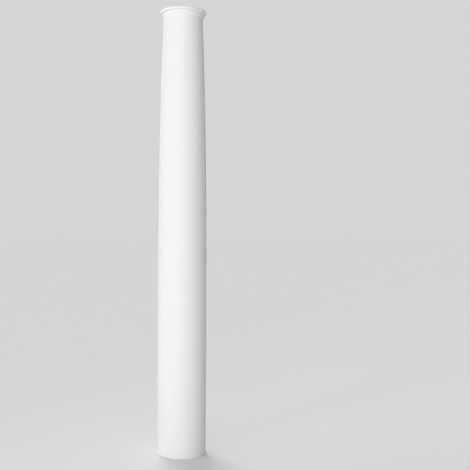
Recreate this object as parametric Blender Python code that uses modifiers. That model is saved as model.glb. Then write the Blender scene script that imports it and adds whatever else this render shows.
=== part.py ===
"""A tapering round column shaft, moulded in one piece, with an astragal round its top and a plain cut foot.

The shaft stands on its foot, with its axis on Z and the middle of the foot at the origin. All sizes are in metres.
"""

import math

import bmesh
import bpy

COLLECTION_NAME = "column_shaft_parts"
SHAFT_NAME = "column_shaft"

# The whole shaft
SHAFT_HEIGHT = 2.200

# The swelling outline: widest at the belly, drawn in a little to the foot and much more to the neck
BELLY_RADIUS = 0.121
BELLY_HEIGHT = 0.580
FOOT_DRAW_IN = 0.0020
NECK_RADIUS = 0.0970
ENTASIS_POWER = 2.7

# The astragal, from its round bead at the top of the shaft down to the hollow that meets the neck
BEAD_HEIGHT = 0.0160
BEAD_PROJECTION = 0.0105
QUIRK_HEIGHT = 0.0020
QUIRK_DEPTH = 0.0010
FILLET_HEIGHT = 0.0105
FILLET_PROJECTION = 0.0075
CAVETTO_HEIGHT = 0.0130
CAVETTO_SWEEP_DEGREES = 60

# The softened edges that a mould leaves
FILLET_EDGE_RADIUS = 0.0010
FOOT_EDGE_RADIUS = 0.0010

# How finely the curves are divided
STEPS_ROUND = 76
BEAD_STEPS = 10
EDGE_STEPS = 3
CAVETTO_STEPS = 6
BODY_STEPS = 22
FOOT_STEPS = 5
SMOOTH_ANGLE = math.radians(32)

# The primed finish
PRIMER_COLOUR = (0.86, 0.86, 0.86, 1.0)
PRIMER_ROUGHNESS = 0.62


def clear_scene():
    for old in list(bpy.data.objects):
        bpy.data.objects.remove(old)


def arc(centre_r, centre_z, radius_r, radius_z, start_degrees, end_degrees, steps):
    """Points (r, z) along an elliptical arc, both ends included. Zero degrees points away from the axis."""
    points = []
    for step in range(steps + 1):
        angle = math.radians(start_degrees + (end_degrees - start_degrees) * step / steps)
        points.append((centre_r + radius_r * math.cos(angle), centre_z + radius_z * math.sin(angle)))
    return points


def body_radius(height, neck_height):
    """Radius of the shaft at a height between the foot and the neck."""
    if height < BELLY_HEIGHT:
        below = (BELLY_HEIGHT - height) / BELLY_HEIGHT
        return BELLY_RADIUS - FOOT_DRAW_IN * below**2
    above = (height - BELLY_HEIGHT) / (neck_height - BELLY_HEIGHT)
    return BELLY_RADIUS - (BELLY_RADIUS - NECK_RADIUS) * above**ENTASIS_POWER


def bead_points(fillet_radius):
    """The half-round bead, from the top end's rim to its underside."""
    section = BEAD_HEIGHT / 2
    centre_r = fillet_radius + BEAD_PROJECTION - section
    return arc(centre_r, SHAFT_HEIGHT - section, section, section, 90, -90, BEAD_STEPS)


def quirk_and_fillet_points(fillet_radius):
    """The narrow groove under the bead, then the flat band under it with both of its edges softened."""
    quirk_top = SHAFT_HEIGHT - BEAD_HEIGHT
    fillet_top = quirk_top - QUIRK_HEIGHT
    fillet_foot = fillet_top - FILLET_HEIGHT
    edge = FILLET_EDGE_RADIUS
    points = [(fillet_radius - QUIRK_DEPTH, quirk_top), (fillet_radius - QUIRK_DEPTH, fillet_top)]
    points += arc(fillet_radius - edge, fillet_top - edge, edge, edge, 90, 0, EDGE_STEPS)
    points += arc(fillet_radius - edge, fillet_foot + edge, edge, edge, 0, -90, EDGE_STEPS)
    return points


def cavetto_points(fillet_radius, neck_height):
    """The hollow that sweeps from the softened edge of the fillet down to the neck, where it runs straight on."""
    sweep = math.radians(CAVETTO_SWEEP_DEGREES)
    radius_r = (fillet_radius - FILLET_EDGE_RADIUS - NECK_RADIUS) / (1 - math.cos(sweep))
    radius_z = CAVETTO_HEIGHT / math.sin(sweep)
    start = 180 - CAVETTO_SWEEP_DEGREES
    hollow = arc(NECK_RADIUS + radius_r, neck_height, radius_r, radius_z, start, 180, CAVETTO_STEPS)
    return hollow[1:]


def body_points(neck_height):
    """The body between the neck and the softened edge of the foot."""
    points = []
    for step in range(1, BODY_STEPS + 1):
        height = neck_height + (BELLY_HEIGHT - neck_height) * step / BODY_STEPS
        points.append((body_radius(height, neck_height), height))
    for step in range(1, FOOT_STEPS):
        height = BELLY_HEIGHT + (FOOT_EDGE_RADIUS - BELLY_HEIGHT) * step / FOOT_STEPS
        points.append((body_radius(height, neck_height), height))
    return points


def foot_points():
    """The softened edge between the body and the flat underside."""
    foot_radius = BELLY_RADIUS - FOOT_DRAW_IN
    edge = FOOT_EDGE_RADIUS
    return arc(foot_radius - edge, edge, edge, edge, 0, -90, EDGE_STEPS)


def shaft_profile():
    """Half of the shaft's section, from the axis at its top, down the outer side, to the axis at its foot."""
    fillet_radius = NECK_RADIUS + FILLET_PROJECTION
    neck_height = SHAFT_HEIGHT - BEAD_HEIGHT - QUIRK_HEIGHT - FILLET_HEIGHT - CAVETTO_HEIGHT
    points = [(0.0, SHAFT_HEIGHT)]
    points += bead_points(fillet_radius)
    points += quirk_and_fillet_points(fillet_radius)
    points += cavetto_points(fillet_radius, neck_height)
    points += body_points(neck_height)
    points += foot_points()
    points.append((0.0, 0.0))
    return points


def profile_mesh(name, profile):
    """An edge-only mesh of the profile, in the XZ plane at +X."""
    shape = bmesh.new()
    verts = [shape.verts.new((radius, 0.0, height)) for radius, height in profile]
    for upper, lower in zip(verts, verts[1:]):
        shape.edges.new((upper, lower))
    mesh = bpy.data.meshes.new(name)
    shape.to_mesh(mesh)
    shape.free()
    return mesh


def turned(name, profile, steps, collection):
    """An object of the profile turned about Z, as a plain mesh that is shaded smooth except at its sharp edges."""
    outline = profile_mesh(name + "_profile", profile)
    guide = bpy.data.objects.new(outline.name, outline)
    collection.objects.link(guide)
    screw = guide.modifiers.new("turn", "SCREW")
    screw.axis = "Z"
    screw.angle = math.tau
    screw.steps = steps
    screw.render_steps = steps
    screw.use_merge_vertices = True
    screw.merge_threshold = 0.0001
    graph = bpy.context.evaluated_depsgraph_get()
    mesh = bpy.data.meshes.new_from_object(guide.evaluated_get(graph))
    bpy.data.objects.remove(guide)
    bpy.data.meshes.remove(outline)
    mesh.name = name
    mesh.shade_smooth()
    mesh.set_sharp_from_angle(angle=SMOOTH_ANGLE)
    made = bpy.data.objects.new(name, mesh)
    collection.objects.link(made)
    return made


def primer_material():
    """Matt white primer on rigid foam."""
    material = bpy.data.materials.new("white_primer")
    material.use_nodes = True
    shader = material.node_tree.nodes["Principled BSDF"]
    shader.inputs["Base Color"].default_value = PRIMER_COLOUR
    shader.inputs["Roughness"].default_value = PRIMER_ROUGHNESS
    shader.inputs["Metallic"].default_value = 0.0
    return material


def main():
    clear_scene()
    collection = bpy.data.collections.new(COLLECTION_NAME)
    bpy.context.scene.collection.children.link(collection)
    shaft = turned(SHAFT_NAME, shaft_profile(), STEPS_ROUND, collection)
    shaft.data.materials.append(primer_material())


main()
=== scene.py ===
"""Looks of a moulded column shaft: a finely divided skin of primed foam, in a pale and softly lit studio.

The shaft stands on the floor with its axis on Z. Sizes are in metres and angles in degrees, unless a name
says otherwise.
"""

import logging
import math
from dataclasses import dataclass
from enum import Enum

import bmesh
import bpy
from mathutils import Euler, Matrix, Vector


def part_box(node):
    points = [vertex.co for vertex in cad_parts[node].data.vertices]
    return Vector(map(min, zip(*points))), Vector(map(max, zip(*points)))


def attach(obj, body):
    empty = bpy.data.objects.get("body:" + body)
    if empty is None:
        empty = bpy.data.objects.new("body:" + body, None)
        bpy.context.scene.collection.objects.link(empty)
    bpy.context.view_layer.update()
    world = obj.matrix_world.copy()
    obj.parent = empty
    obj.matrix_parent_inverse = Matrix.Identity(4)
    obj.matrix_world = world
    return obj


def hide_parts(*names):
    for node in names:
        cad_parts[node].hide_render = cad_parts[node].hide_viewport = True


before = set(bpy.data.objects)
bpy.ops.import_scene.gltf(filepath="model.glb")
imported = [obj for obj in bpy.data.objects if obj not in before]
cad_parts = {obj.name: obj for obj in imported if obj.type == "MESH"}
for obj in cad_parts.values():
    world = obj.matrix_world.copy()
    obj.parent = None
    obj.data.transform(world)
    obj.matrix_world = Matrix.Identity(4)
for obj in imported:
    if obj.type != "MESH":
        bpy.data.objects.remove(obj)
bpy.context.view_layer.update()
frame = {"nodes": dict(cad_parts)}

LOG = logging.getLogger("column_shaft")

Ring = tuple[float, float]
Colour = tuple[float, float, float]
Socket = bpy.types.NodeSocket

SHAFT_NODE = "column_shaft"
SHAFT_BODY = "root"

# A camera or a lamp that is pitched up by a right angle looks level
LEVEL_PITCH = math.radians(90.0)

# How far a wave texture of scale 1 turns in a metre, in radians
WAVE_TURN = 20.0

# Directions in the shaft's section, as the angles of an arc
OUTWARDS = 0.0
UPWARDS = 90.0
INWARDS = 180.0
DOWNWARDS = -90.0


def opaque(colour: Colour) -> tuple[float, float, float, float]:
    """The colour with full opacity, as a socket takes it."""
    return (*colour, 1.0)


def placed(name: str, data: bpy.types.ID) -> bpy.types.Object:
    """Puts data in the scene.

    Args:
        name: the new object's name.
        data: the mesh, light or camera that the object shows.

    Returns:
        The new object, at the origin.
    """
    thing = bpy.data.objects.new(name, data)
    bpy.context.scene.collection.objects.link(thing)
    return thing


def settled(name: str, shape: bmesh.types.BMesh) -> bpy.types.Mesh:
    """Keeps an edited shape as a mesh, and frees the shape.

    Args:
        name: the mesh's name.
        shape: the edited shape.

    Returns:
        The mesh.
    """
    mesh = bpy.data.meshes.new(name)
    shape.to_mesh(mesh)
    shape.free()
    return mesh


class Wiring:
    """Adds nodes to a node tree and joins their sockets."""

    def __init__(self, tree: bpy.types.NodeTree) -> None:
        """Keeps the tree that the nodes go in."""
        self.tree = tree

    def add(self, kind: str, inputs: dict | None = None, **settings: object) -> bpy.types.Node:
        """Adds one node.

        Args:
            kind: Blender's name for the type of node.
            inputs: for each input, by name or number, a socket to join to it or a plain value.
            settings: the node's own settings, by name.

        Returns:
            The new node.
        """
        node = self.tree.nodes.new(kind)
        for name, value in settings.items():
            setattr(node, name, value)
        for key, value in (inputs or {}).items():
            if isinstance(value, Socket):
                self.tree.links.new(value, node.inputs[key])
            else:
                node.inputs[key].default_value = value
        return node

    def math(self, operation: str, first: Socket | float, second: Socket | float = 0.0) -> Socket:
        """The result of one sum on two numbers or sockets."""
        return self.add("ShaderNodeMath", {0: first, 1: second}, operation=operation).outputs[0]

    def ramp(self, value: Socket, start: Socket | float, end: Socket | float) -> Socket:
        """A smooth step from 0 to 1.

        Args:
            value: what is measured.
            start: the value at which the step is still 0.
            end: the value at which the step has reached 1.

        Returns:
            The step's height.
        """
        places = {"Value": value, "From Min": start, "From Max": end}
        node = self.add("ShaderNodeMapRange", places, interpolation_type="SMOOTHSTEP")
        return node.outputs["Result"]

    def span(self, value: Socket, low: Socket | float, high: Socket | float) -> Socket:
        """A number between two others.

        Args:
            value: a value from 0 to 1.
            low: the result for 0.
            high: the result for 1.

        Returns:
            The result.
        """
        node = self.add("ShaderNodeMapRange", {"Value": value, "To Min": low, "To Max": high})
        return node.outputs["Result"]

    def tint(self, factor: Socket, dark: Colour, light: Colour) -> Socket:
        """A colour between two others.

        Args:
            factor: 0 for the dark colour, 1 for the light one.
            dark: the dark colour.
            light: the light colour.

        Returns:
            The colour.
        """
        node = self.add("ShaderNodeMix", {"Factor": factor}, data_type="RGBA")
        node.inputs["A"].default_value = opaque(dark)
        node.inputs["B"].default_value = opaque(light)
        return node.outputs["Result"]

    def relief(self, height: Socket, depth: float, over: Socket | None = None) -> Socket:
        """The normal of a surface that carries a shallow pattern.

        Args:
            height: the pattern, from 0 in its hollows to 1 on its tops.
            depth: how deep the hollows are.
            over: the normal of a coarser pattern that this one lies on.

        Returns:
            The normal.
        """
        inputs = {"Height": height, "Distance": depth}
        if over is not None:
            inputs["Normal"] = over
        return self.add("ShaderNodeBump", inputs).outputs["Normal"]


def new_finish(name: str, specular_level: float) -> tuple[bpy.types.Material, Wiring, bpy.types.NodeInputs]:
    """Starts a finish.

    Args:
        name: the material's name.
        specular_level: how strongly its surface reflects.

    Returns:
        The material, the wiring of its tree and the inputs of its shader.
    """
    material = bpy.data.materials.new(name)
    material.use_nodes = True
    shader = material.node_tree.nodes["Principled BSDF"].inputs
    shader["Specular IOR Level"].default_value = specular_level
    return material, Wiring(material.node_tree), shader


@dataclass(frozen=True)
class Grain:
    """One layer of noise in a finish: its share is of the colour, and its depth is that of its relief."""

    per_metre: float
    detail: float
    share: float = 0.0
    depth: float = 0.0

    def on(self, wiring: Wiring, place: Socket) -> Socket:
        """The layer's noise at a place, from 0 to 1."""
        inputs = {"Vector": place, "Scale": self.per_metre, "Detail": self.detail}
        return wiring.add("ShaderNodeTexNoise", inputs).outputs[0]


@dataclass(frozen=True)
class PrimedFoam:
    """Matt white primer sprayed on smooth moulded foam, with a very fine, even stipple."""

    name: str = "primed_foam"
    light: Colour = (0.812, 0.812, 0.812)
    dark: Colour = (0.770, 0.770, 0.770)
    cloud: Grain = Grain(per_metre=5.0, detail=2.0, share=0.35)
    mottle: Grain = Grain(per_metre=95.0, detail=3.0, share=0.25)
    peel: Grain = Grain(per_metre=260.0, detail=1.0, depth=0.00018)
    stipple: Grain = Grain(per_metre=900.0, detail=2.0, share=0.40, depth=0.00013)
    smoothest: float = 0.60
    roughest: float = 0.70
    specular_level: float = 0.35

    def material(self) -> bpy.types.Material:
        """Builds the finish.

        Returns:
            The material, with its colour, roughness and relief from noise on Object coordinates.
        """
        material, wiring, shader = new_finish(self.name, self.specular_level)
        place = wiring.add("ShaderNodeTexCoord").outputs["Object"]
        mottle = self.mottle.on(wiring, place)
        stipple = self.stipple.on(wiring, place)
        tone = wiring.math("MULTIPLY", self.cloud.on(wiring, place), self.cloud.share)
        for noise, share in ((mottle, self.mottle.share), (stipple, self.stipple.share)):
            tone = wiring.math("ADD", tone, wiring.math("MULTIPLY", noise, share))
        peeled = wiring.relief(self.peel.on(wiring, place), self.peel.depth)
        stippled = wiring.relief(stipple, self.stipple.depth, peeled)
        wiring.tree.links.new(wiring.tint(tone, self.dark, self.light), shader["Base Color"])
        wiring.tree.links.new(wiring.span(mottle, self.smoothest, self.roughest), shader["Roughness"])
        wiring.tree.links.new(stippled, shader["Normal"])
        return material


@dataclass(frozen=True)
class Pores:
    """Round open pores, one in each cell of a cell pattern, with radii in shares of a cell."""

    per_metre: float
    bottom: float
    rim: float

    def on(self, wiring: Wiring, place: Socket) -> Socket:
        """The surface at a place, from 0 in a pore to 1 between the pores."""
        cells = wiring.add("ShaderNodeTexVoronoi", {"Vector": place, "Scale": self.per_metre})
        return wiring.ramp(cells.outputs["Distance"], self.bottom, self.rim)


@dataclass(frozen=True)
class TrimmedFoam:
    """The trimmed end of the moulding: thinly primed, with faint saw lines and open pores of two sizes.
    Inside the pores the colour is darker, as painted shade.
    """

    name: str = "trimmed_end"
    light: Colour = (0.800, 0.800, 0.800)
    # The colour inside the pores: painted shade
    dark: Colour = (0.640, 0.640, 0.640)
    large_pores: Pores = Pores(per_metre=170.0, bottom=0.06, rim=0.15)
    small_pores: Pores = Pores(per_metre=520.0, bottom=0.08, rim=0.24)
    pore_depth: float = 0.00030
    grain: Grain = Grain(per_metre=1200.0, detail=2.0, depth=0.00008)
    line_spacing: float = 0.0045
    line_depth: float = 0.00007
    line_wander: float = 1.4
    line_wander_scale: float = 0.12
    roughness: float = 0.82
    specular_level: float = 0.25

    def material(self) -> bpy.types.Material:
        """Builds the finish.

        Returns:
            The material, with pores from cell patterns whose insides are darker in colour as painted shade,
            and saw lines from a slightly wandering band pattern.
        """
        material, wiring, shader = new_finish(self.name, self.specular_level)
        shader["Roughness"].default_value = self.roughness
        place = wiring.add("ShaderNodeTexCoord").outputs["Object"]
        large, small = self.large_pores.on(wiring, place), self.small_pores.on(wiring, place)
        pores = wiring.math("MULTIPLY", large, small)
        sawn = wiring.relief(self._saw_lines(wiring, place), self.line_depth)
        pitted = wiring.relief(pores, self.pore_depth, sawn)
        grained = wiring.relief(self.grain.on(wiring, place), self.grain.depth, pitted)
        # The pores take the dark colour: painted shade inside them
        wiring.tree.links.new(wiring.tint(pores, self.dark, self.light), shader["Base Color"])
        wiring.tree.links.new(grained, shader["Normal"])
        return material

    def _saw_lines(self, wiring: Wiring, place: Socket) -> Socket:
        """The marks of the saw, as almost straight bands across the end.

        Args:
            wiring: the wiring of the material.
            place: the place on the shaft.

        Returns:
            The bands' height, from 0 to 1.
        """
        node = wiring.add("ShaderNodeTexWave", {
            "Vector": place, "Scale": math.tau / (WAVE_TURN * self.line_spacing),
            "Distortion": self.line_wander, "Detail Scale": self.line_wander_scale})
        return node.outputs["Fac"]


@dataclass(frozen=True)
class StudioPaint:
    """Plain pale matt paint for the studio floor."""

    name: str = "studio_floor"
    colour: Colour = (0.86, 0.86, 0.86)
    roughness: float = 1.0
    specular_level: float = 0.0

    def material(self) -> bpy.types.Material:
        """Builds the finish.

        Returns:
            The plain matt material.
        """
        material, _, shader = new_finish(self.name, self.specular_level)
        shader["Base Color"].default_value = opaque(self.colour)
        shader["Roughness"].default_value = self.roughness
        return material


class Steps(Enum):
    """How many straight steps stand for each stretch of the shaft's outline."""

    BEAD = 24
    EDGE = 6
    CAVETTO = 16
    BODY = 96
    FOOT = 26


@dataclass(frozen=True)
class ShaftOutline:
    """Half of the shaft's section. The shaft swells to its belly and carries an astragal round its top."""

    height: float
    belly_radius: float
    belly_height: float = 0.580
    foot_draw_in: float = 0.0020
    neck_radius: float = 0.0970
    entasis_power: float = 2.7
    bead_height: float = 0.0160
    bead_projection: float = 0.0105
    quirk_height: float = 0.0020
    quirk_depth: float = 0.0010
    fillet_height: float = 0.0105
    fillet_projection: float = 0.0075
    cavetto_height: float = 0.0130
    cavetto_sweep: float = 60.0
    fillet_edge_radius: float = 0.0010
    foot_edge_radius: float = 0.0010

    @classmethod
    def of_node(cls, node: str) -> "ShaftOutline":
        """The outline that fills the box of a node of the frame."""
        low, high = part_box(node)
        return cls(height=high[2] - low[2], belly_radius=(high[0] - low[0]) / 2)

    @property
    def fillet_radius(self) -> float:
        """Radius of the flat band under the bead."""
        return self.neck_radius + self.fillet_projection

    @property
    def neck_height(self) -> float:
        """Height at which the body ends and the hollow under the astragal starts."""
        return self.height - self.bead_height - self.quirk_height - self.fillet_height - self.cavetto_height

    def radius_at(self, height: float) -> float:
        """The body's radius.

        Args:
            height: a height between the foot and the neck.

        Returns:
            The radius at that height.
        """
        if height < self.belly_height:
            below = (self.belly_height - height) / self.belly_height
            return self.belly_radius - self.foot_draw_in * below**2
        above = (height - self.belly_height) / (self.neck_height - self.belly_height)
        return self.belly_radius - (self.belly_radius - self.neck_radius) * above**self.entasis_power

    def rings(self) -> list[Ring]:
        """The whole outline.

        Returns:
            Points (radius, height) from the axis at the top, down the outer side, to the axis at the foot.
        """
        return [
            (0.0, self.height), *self._bead(), *self._quirk_and_fillet(),
            *self._cavetto(), *self._body(), *self._foot(), (0.0, 0.0)]

    @staticmethod
    def _arc(centre: Ring, reach: Ring, start: float, end: float, steps: Steps) -> list[Ring]:
        """Points along an elliptical arc, both ends included.

        Args:
            centre: radius and height of the arc's centre.
            reach: half of the ellipse's width and half of its height.
            start: angle of the first point.
            end: angle of the last point.
            steps: how many straight steps the arc has.

        Returns:
            One more point than there are steps.
        """
        points = []
        for step in range(steps.value + 1):
            angle = math.radians(start + (end - start) * step / steps.value)
            points.append((centre[0] + reach[0] * math.cos(angle), centre[1] + reach[1] * math.sin(angle)))
        return points

    def _bead(self) -> list[Ring]:
        """The half-round bead.

        Returns:
            Points from the rim of the top end to the bead's underside.
        """
        half = self.bead_height / 2
        centre = (self.fillet_radius + self.bead_projection - half, self.height - half)
        return self._arc(centre, (half, half), UPWARDS, DOWNWARDS, Steps.BEAD)

    def _quirk_and_fillet(self) -> list[Ring]:
        """The fine groove under the bead and the flat band under it, whose two edges are softened.

        Returns:
            Points from the top of the groove to the foot of the band.
        """
        quirk_top = self.height - self.bead_height
        fillet_top = quirk_top - self.quirk_height
        fillet_foot = fillet_top - self.fillet_height
        edge = self.fillet_edge_radius
        across = self.fillet_radius - edge
        inner = self.fillet_radius - self.quirk_depth
        upper = self._arc((across, fillet_top - edge), (edge, edge), UPWARDS, OUTWARDS, Steps.EDGE)
        lower = self._arc((across, fillet_foot + edge), (edge, edge), OUTWARDS, DOWNWARDS, Steps.EDGE)
        return [(inner, quirk_top), (inner, fillet_top), *upper, *lower]

    def _cavetto(self) -> list[Ring]:
        """The hollow under the band.

        Returns:
            Points from just under the band down to the neck, where the hollow runs straight on.
        """
        sweep = math.radians(self.cavetto_sweep)
        across = (self.fillet_radius - self.fillet_edge_radius - self.neck_radius) / (1 - math.cos(sweep))
        down = self.cavetto_height / math.sin(sweep)
        centre = (self.neck_radius + across, self.neck_height)
        hollow = self._arc(centre, (across, down), INWARDS - self.cavetto_sweep, INWARDS, Steps.CAVETTO)
        return hollow[1:]

    def _body(self) -> list[Ring]:
        """The swelling body.

        Returns:
            Points from under the neck to above the softened edge of the foot.
        """
        heights = [
            self.neck_height + (self.belly_height - self.neck_height) * step / Steps.BODY.value
            for step in range(1, Steps.BODY.value + 1)]
        heights += [
            self.belly_height + (self.foot_edge_radius - self.belly_height) * step / Steps.FOOT.value
            for step in range(1, Steps.FOOT.value)]
        return [(self.radius_at(height), height) for height in heights]

    def _foot(self) -> list[Ring]:
        """The softened edge of the foot.

        Returns:
            Points from the body to the flat underside.
        """
        edge = self.foot_edge_radius
        across = self.belly_radius - self.foot_draw_in - edge
        return self._arc((across, edge), (edge, edge), OUTWARDS, DOWNWARDS, Steps.EDGE)


@dataclass(frozen=True)
class Lathe:
    """A Geometry Nodes tree that turns an outline about Z.

    It gives the body the long, low waves of a sanded mould, which fade out before the foot and the neck.
    """

    segments: int = 288
    wave_height: float = 0.00010
    wave_length: float = 0.110
    wave_detail: float = 1.0
    wave_fade: float = 0.060
    seed: int = 7
    end_tolerance: float = 0.00001
    weld_distance: float = 0.000005

    def skin(
            self, name: str, outline: ShaftOutline,
            side: bpy.types.Material, end: bpy.types.Material) -> bpy.types.Mesh:
        """Turns the outline into a plain closed mesh.

        Args:
            name: the mesh's name.
            outline: the outline to turn.
            side: the finish of everything but the flat ends.
            end: the finish of the two flat ends.

        Returns:
            The mesh, in place and facing outwards.
        """
        guide = placed(name + "_outline", self._outline_mesh(name + "_outline", outline))
        tree, sockets = self._tree(name + "_lathe")
        modifier = guide.modifiers.new("lathe", "NODES")
        modifier.node_group = tree
        values = {
            "Segments": self.segments, "Wave Height": self.wave_height, "Wave Length": self.wave_length,
            "Wave Fade": self.wave_fade, "Seed": self.seed, "Foot Height": outline.foot_edge_radius,
            "Neck Height": outline.neck_height, "Top Height": outline.height,
            "End Tolerance": self.end_tolerance, "Side Finish": side, "End Finish": end}
        for label, value in values.items():
            modifier[sockets[label]] = value
        graph = bpy.context.evaluated_depsgraph_get()
        mesh = bpy.data.meshes.new_from_object(guide.evaluated_get(graph))
        mesh.name = name
        bpy.data.objects.remove(guide)
        self._drop_empty_slots(mesh)
        return mesh

    @staticmethod
    def _drop_empty_slots(mesh: bpy.types.Mesh) -> None:
        """Removes the material slots that hold nothing.

        Args:
            mesh: the mesh to tidy.
        """
        for index in reversed(range(len(mesh.materials))):
            if mesh.materials[index] is None:
                mesh.materials.pop(index=index)

    @staticmethod
    def _outline_mesh(name: str, outline: ShaftOutline) -> bpy.types.Mesh:
        """The outline as a chain of edges, in the XZ plane at +X.

        Args:
            name: the mesh's name.
            outline: the outline.

        Returns:
            The mesh, whose points run in order from the top to the foot.
        """
        shape = bmesh.new()
        verts = [shape.verts.new((radius, 0.0, height)) for radius, height in outline.rings()]
        for upper, lower in zip(verts, verts[1:]):
            shape.edges.new((upper, lower))
        return settled(name, shape)

    def _tree(self, name: str) -> tuple[bpy.types.NodeTree, dict[str, str]]:
        """Builds the node tree.

        Args:
            name: the tree's name.

        Returns:
            The tree, and the identifier of each of its inputs by label.
        """
        tree = bpy.data.node_groups.new(name, "GeometryNodeTree")
        kinds = {
            "Outline": "Geometry", "Segments": "Int", "Wave Height": "Float", "Wave Length": "Float",
            "Wave Fade": "Float", "Seed": "Int", "Foot Height": "Float", "Neck Height": "Float",
            "Top Height": "Float", "End Tolerance": "Float", "Side Finish": "Material",
            "End Finish": "Material"}
        sockets = {}
        for label, kind in kinds.items():
            socket = tree.interface.new_socket(label, in_out="INPUT", socket_type="NodeSocket" + kind)
            sockets[label] = socket.identifier
        tree.interface.new_socket("Skin", in_out="OUTPUT", socket_type="NodeSocketGeometry")
        wiring = Wiring(tree)
        given = wiring.add("NodeGroupInput").outputs
        skin = self._turned(wiring, given)
        skin = self._waved(wiring, given, skin)
        skin = wiring.add("GeometryNodeRealizeInstances", {"Geometry": skin}).outputs["Geometry"]
        skin = self._finished(wiring, given, skin)
        wiring.add("NodeGroupOutput", {"Skin": skin})
        return tree, sockets

    def _turned(self, wiring: Wiring, given: bpy.types.NodeOutputs) -> Socket:
        """A grid whose rows are the outline's points and whose columns are the segments, wrapped round Z.

        Args:
            wiring: the wiring of the tree.
            given: the tree's inputs.

        Returns:
            The closed skin.
        """
        size = wiring.add("GeometryNodeAttributeDomainSize", {"Geometry": given["Outline"]})
        count = size.outputs["Point Count"]
        rows = wiring.math("SUBTRACT", count, 1.0)
        segments = given["Segments"]
        grid = wiring.add("GeometryNodeMeshGrid", {
            "Size X": rows, "Size Y": segments, "Vertices X": count,
            "Vertices Y": wiring.math("ADD", segments, 1.0)})
        point = wiring.add("GeometryNodeInputPosition").outputs["Position"]
        flat = wiring.add("ShaderNodeSeparateXYZ", {"Vector": point}).outputs
        row = self._counted(wiring, flat["X"], rows)
        column = wiring.math("MODULO", self._counted(wiring, flat["Y"], segments), segments)
        angle = wiring.math("MULTIPLY", wiring.math("DIVIDE", column, segments), math.tau)
        taken = wiring.add("GeometryNodeSampleIndex", data_type="FLOAT_VECTOR", domain="POINT")
        for name, socket in (("Geometry", given["Outline"]), ("Value", point), ("Index", row)):
            wiring.tree.links.new(socket, taken.inputs[name])
        ring = wiring.add("ShaderNodeSeparateXYZ", {"Vector": taken.outputs["Value"]}).outputs
        across = wiring.math("MULTIPLY", ring["X"], wiring.math("COSINE", angle))
        along = wiring.math("MULTIPLY", ring["X"], wiring.math("SINE", angle))
        place = wiring.add("ShaderNodeCombineXYZ", {"X": across, "Y": along, "Z": ring["Z"]})
        wrapped = wiring.add("GeometryNodeSetPosition", {
            "Geometry": grid.outputs["Mesh"], "Position": place.outputs["Vector"]})
        welded = wiring.add("GeometryNodeMergeByDistance", {
            "Geometry": wrapped.outputs["Geometry"], "Distance": self.weld_distance})
        return welded.outputs["Geometry"]

    @staticmethod
    def _counted(wiring: Wiring, place: Socket, size: Socket) -> Socket:
        """How many whole steps a place on a grid lies from the grid's edge."""
        return wiring.math("ROUND", wiring.math("ADD", place, wiring.math("MULTIPLY", size, 0.5)))

    def _waved(self, wiring: Wiring, given: bpy.types.NodeOutputs, skin: Socket) -> Socket:
        """Moves the body in and out by the long, low waves.

        Args:
            wiring: the wiring of the tree.
            given: the tree's inputs.
            skin: the smooth skin.

        Returns:
            The waved skin.
        """
        foot, neck, fade = given["Foot Height"], given["Neck Height"], given["Wave Fade"]
        point = wiring.add("GeometryNodeInputPosition").outputs["Position"]
        height = wiring.add("ShaderNodeSeparateXYZ", {"Vector": point}).outputs["Z"]
        above = wiring.ramp(height, foot, wiring.math("ADD", foot, fade))
        below = wiring.ramp(height, neck, wiring.math("SUBTRACT", neck, fade))
        noise = wiring.add("ShaderNodeTexNoise", {
            "Vector": point, "W": given["Seed"], "Detail": self.wave_detail,
            "Scale": wiring.math("DIVIDE", 1.0, given["Wave Length"])}, noise_dimensions="4D")
        lowest = wiring.math("SUBTRACT", 0.0, given["Wave Height"])
        swing = wiring.span(noise.outputs[0], lowest, given["Wave Height"])
        swing = wiring.math("MULTIPLY", swing, wiring.math("MULTIPLY", above, below))
        outwards = wiring.add("GeometryNodeInputNormal").outputs["Normal"]
        offset = wiring.add("ShaderNodeVectorMath", {0: outwards, "Scale": swing}, operation="SCALE")
        moved = wiring.add("GeometryNodeSetPosition", {"Geometry": skin, "Offset": offset.outputs["Vector"]})
        return moved.outputs["Geometry"]

    @staticmethod
    def _finished(wiring: Wiring, given: bpy.types.NodeOutputs, skin: Socket) -> Socket:
        """Gives the skin its side finish, and the flat faces at its two ends their own.

        Args:
            wiring: the wiring of the tree.
            given: the tree's inputs.
            skin: the bare skin.

        Returns:
            The finished skin.
        """
        point = wiring.add("GeometryNodeInputPosition").outputs["Position"]
        height = wiring.add("ShaderNodeSeparateXYZ", {"Vector": point}).outputs["Z"]
        nearly_top = wiring.math("SUBTRACT", given["Top Height"], given["End Tolerance"])
        at_foot = wiring.math("LESS_THAN", height, given["End Tolerance"])
        at_top = wiring.math("GREATER_THAN", height, nearly_top)
        side = wiring.add("GeometryNodeSetMaterial", {"Geometry": skin, "Material": given["Side Finish"]})
        end = wiring.add("GeometryNodeSetMaterial", {
            "Geometry": side.outputs["Geometry"], "Material": given["End Finish"],
            "Selection": wiring.math("MAXIMUM", at_foot, at_top)})
        return end.outputs["Geometry"]


@dataclass(frozen=True)
class ColumnShaft:
    """The shaft itself: one moulded piece that stands for the frame's plain solid."""

    outline: ShaftOutline
    lathe: Lathe = Lathe()
    primer: PrimedFoam = PrimedFoam()
    trim: TrimmedFoam = TrimmedFoam()
    crease_angle: float = 32.0

    def build(self) -> None:
        """Makes the shaft and joins it to the frame."""
        name = SHAFT_NODE + "_skin"
        mesh = self.lathe.skin(name, self.outline, self.primer.material(), self.trim.material())
        mesh.shade_smooth()
        mesh.set_sharp_from_angle(angle=math.radians(self.crease_angle))
        piece = placed(name, mesh)
        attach(piece, SHAFT_BODY)
        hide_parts(SHAFT_NODE)
        LOG.info("%s: %d faces in %s", name, len(mesh.polygons), [finish.name for finish in mesh.materials])


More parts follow.
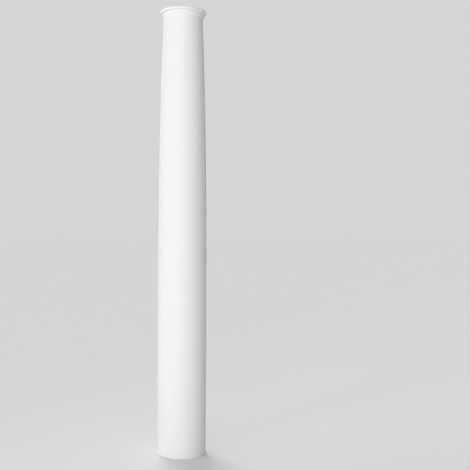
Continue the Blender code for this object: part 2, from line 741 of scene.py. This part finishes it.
@dataclass(frozen=True)
class SoftSun:
    """A broad, distant studio light.

    At azimuth 0 it shines from the camera's side, and at a negative azimuth from the camera's left.
    """

    name: str
    azimuth: float
    elevation: float
    spread: float
    strength: float

    def place(self) -> None:
        """Adds the light to the scene."""
        data = bpy.data.lights.new(self.name, "SUN")
        data.energy = self.strength
        data.angle = math.radians(self.spread)
        light = placed(self.name, data)
        turn = math.radians(self.azimuth)
        rise = math.radians(self.elevation)
        source = Vector((math.sin(turn) * math.cos(rise), -math.cos(turn) * math.cos(rise), math.sin(rise)))
        light.rotation_euler = source.to_track_quat("Z", "Y").to_euler()
        LOG.info("%s: strength %.2f", self.name, self.strength)


@dataclass(frozen=True)
class SoftSpot:
    """A large level lamp whose beam fades out towards the floor, so that the foot is lit a little less.

    Its azimuth is counted as a soft sun's is.
    """

    name: str
    azimuth: float
    distance: float
    height: float
    beam: float
    fade: float
    radius: float
    watts: float

    def place(self) -> None:
        """Adds the lamp to the scene, aimed level at the shaft's axis."""
        data = bpy.data.lights.new(self.name, "SPOT")
        data.energy = self.watts
        data.spot_size = math.radians(self.beam)
        data.spot_blend = self.fade
        data.shadow_soft_size = self.radius
        lamp = placed(self.name, data)
        turn = math.radians(self.azimuth)
        lamp.location = (self.distance * math.sin(turn), -self.distance * math.cos(turn), self.height)
        lamp.rotation_euler = Euler((LEVEL_PITCH, 0.0, turn), "XYZ")
        LOG.info("%s: %.0f W", self.name, self.watts)


@dataclass(frozen=True)
class Camera:
    """The photograph's view: level, at half the shaft's height, with the shaft left of the middle."""

    distance: float = 3.912
    aside: float = 0.2627
    height: float = 1.0876
    lens_mm: float = 60.0
    sensor_mm: float = 36.0
    lean: float = -0.226
    far_clip: float = 1000.0

    def place(self) -> None:
        """Adds the camera and makes it the scene's own."""
        data = bpy.data.cameras.new("camera")
        data.lens = self.lens_mm
        data.sensor_width = self.sensor_mm
        data.sensor_fit = "HORIZONTAL"
        data.clip_end = self.far_clip
        camera = placed("camera", data)
        camera.location = (self.aside, -self.distance, self.height)
        camera.rotation_euler = Euler((LEVEL_PITCH, math.radians(self.lean), 0.0), "XYZ")
        bpy.context.scene.camera = camera
        LOG.info("camera: %.0f mm lens at %.2f m", self.lens_mm, self.distance)


@dataclass(frozen=True)
class Studio:
    """A plain pale floor that runs to the horizon, an evenly pale surround and a few soft lights."""

    floor_radius: float = 400.0
    floor_drop: float = 0.0005
    floor_sides: int = 96
    surround: Colour = (0.669, 0.669, 0.669)
    fill: Colour = (0.236, 0.236, 0.236)
    paint: StudioPaint = StudioPaint()
    lights: tuple[SoftSun | SoftSpot, ...] = (
        SoftSun("key_light", azimuth=-11.6, elevation=0.0, spread=40.0, strength=1.54),
        SoftSun("side_light", azimuth=-105.0, elevation=0.0, spread=40.0, strength=0.55),
        SoftSun("back_light", azimuth=-160.0, elevation=30.0, spread=40.0, strength=1.70),
        SoftSun("top_light", azimuth=0.0, elevation=89.0, spread=40.0, strength=0.69),
        SoftSpot(
            "front_lamp", azimuth=-36.7, distance=6.0, height=1.7, beam=34.7, fade=0.36,
            radius=0.6, watts=306))

    def build(self) -> None:
        """Makes the floor, the surround and the lights."""
        self._floor()
        self._surround()
        for light in self.lights:
            light.place()
        view = bpy.context.scene.view_settings
        view.view_transform = "Standard"
        view.look = "None"

    def _floor(self) -> None:
        """A large disc just under the foot."""
        shape = bmesh.new()
        bmesh.ops.create_circle(shape, cap_ends=True, segments=self.floor_sides, radius=self.floor_radius)
        mesh = settled("floor", shape)
        mesh.materials.append(self.paint.material())
        floor = placed("floor", mesh)
        floor.location.z = -self.floor_drop
        # The level lights are so broad that half of each lies below the horizon: the floor lets it through
        floor.visible_shadow = False
        LOG.info("floor: radius %.0f m", self.floor_radius)

    def _surround(self) -> None:
        """A surround that looks as pale as the lit floor, and lights the shaft only a little."""
        world = bpy.data.worlds.new("surround")
        world.use_nodes = True
        world.node_tree.nodes.clear()
        bpy.context.scene.world = world
        wiring = Wiring(world.node_tree)
        seen = wiring.add("ShaderNodeBackground", {"Color": opaque(self.surround)})
        lit = wiring.add("ShaderNodeBackground", {"Color": opaque(self.fill)})
        mixed = wiring.add("ShaderNodeMixShader", {
            0: wiring.add("ShaderNodeLightPath").outputs["Is Camera Ray"],
            1: lit.outputs["Background"], 2: seen.outputs["Background"]})
        wiring.add("ShaderNodeOutputWorld", {"Surface": mixed.outputs["Shader"]})


def main() -> None:
    """Builds the shaft, then the studio and the camera, and reports each."""
    logging.basicConfig(level=logging.INFO, format="%(message)s")
    LOG.info("frame: %s", ", ".join(frame["nodes"]))
    ColumnShaft(ShaftOutline.of_node(SHAFT_NODE)).build()
    Studio().build()
    Camera().place()


if __name__ == "__main__":
    main()
